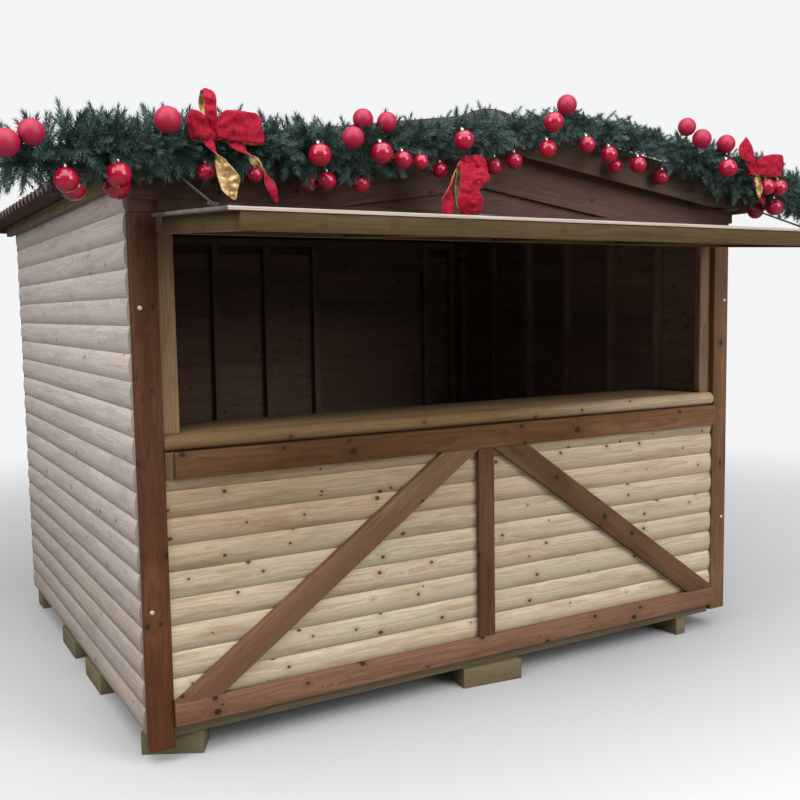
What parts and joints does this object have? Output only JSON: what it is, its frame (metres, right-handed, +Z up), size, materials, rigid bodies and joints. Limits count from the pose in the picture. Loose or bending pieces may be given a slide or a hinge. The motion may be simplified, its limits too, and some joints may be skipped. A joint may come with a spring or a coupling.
{
  "type": "wooden market stall",
  "caption": "Timber market cabin with loglap walls, a counter, a top-hung serving hatch held open by stays, a low gabled corrugated roof and a festive garland.",
  "frame": {"origin": "on the ground under the middle of the cabin, at the bottom of the middle packing block", "axes": "+X along the front to the customer's right, -Y out of the serving side, +Z up"},
  "size_m": [4.0534, 3.3541, 2.5311],
  "materials": {
    "front_cladding": "planed, pressure treated, pale warm beige",
    "side_cladding": "weathered pale grey-beige loglap",
    "brown_timber": "brown stain, matt",
    "dark_timber": "dark brown stain, matt",
    "bargeboard": "thin brown stain",
    "counter_timber": "pale planed timber",
    "hatch_timber": "pale olive treated timber",
    "treated_timber": "sawn green-treated timber",
    "frame_timber": "sawn framing timber",
    "deck_board": "worn floor boards",
    "roof_sheet": "corrugated bitumen sheet, matt",
    "black_iron": "black japanned iron",
    "zinc_steel": "zinc plated",
    "fir_needles": "dark blue-green artificial fir",
    "red_bauble": "glossy and frosted red",
    "red_ribbon": "red velvet ribbon with gold lining and edges"
  },
  "bodies": {
    "root": {"packing_blocks": "treated_timber", "floor_bearers": "treated_timber", "floor_deck": "deck_board", "front_posts": "brown_timber", "back_posts": "brown_timber", "left_wall_frame": "frame_timber", "right_wall_frame": "frame_timber", "back_wall_frame": "frame_timber", "front_panel_frame": "frame_timber", "left_cladding": "side_cladding", "right_cladding": "side_cladding", "front_cladding": "front_cladding", "back_cladding": "side_cladding", "door_head_cladding": "side_cladding", "back_door": "side_cladding", "door_furniture": "black_iron", "bottom_rail": "brown_timber", "top_rail": "brown_timber", "mid_upright": "brown_timber", "left_brace": "brown_timber", "right_brace": "brown_timber", "counter": "counter_timber", "counter_nosing": "counter_timber", "jambs": "counter_timber", "head_rail": "frame_timber", "hinge_batten": "dark_timber", "front_gable": "dark_timber", "back_gable": "dark_timber", "front_rafters": "dark_timber", "back_rafters": "dark_timber", "purlins": "frame_timber", "eave_fascias": "treated_timber", "front_bargeboards": "bargeboard", "back_bargeboards": "bargeboard", "left_roof_sheet": "roof_sheet", "right_roof_sheet": "roof_sheet", "ridge_cap": "roof_sheet", "hinge_plates": "black_iron", "stay_brackets": "zinc_steel", "garland": "fir_needles", "baubles": "red_bauble", "bows": "red_ribbon"},
    "hatch": {"hatch_frame": "hatch_timber", "hatch_boards": "hatch_timber", "hatch_straps": "black_iron"},
    "left_stay": {"left_stay": "zinc_steel"},
    "right_stay": {"right_stay": "zinc_steel"}
  },
  "joints": [
    {"name": "hatch_swing", "type": "hinge", "parent": "root", "child": "hatch", "pos_m": [0, -1.266, 2.024], "axis": [1, 0, 0], "range_deg": [0, 86]},
    {"name": "left_stay_swing", "type": "hinge", "parent": "root", "child": "left_stay", "pos_m": [-1.38, -1.335, 2.162], "axis": [1, 0, 0], "range_deg": [0, 69]},
    {"name": "right_stay_swing", "type": "hinge", "parent": "root", "child": "right_stay", "pos_m": [1.38, -1.335, 2.162], "axis": [1, 0, 0], "range_deg": [0, 69]}
  ],
  "couplings": [
    {"joint": "left_stay_swing", "follows": "hatch_swing", "ratio": 0.8},
    {"joint": "right_stay_swing", "follows": "hatch_swing", "ratio": 0.8}
  ]
}
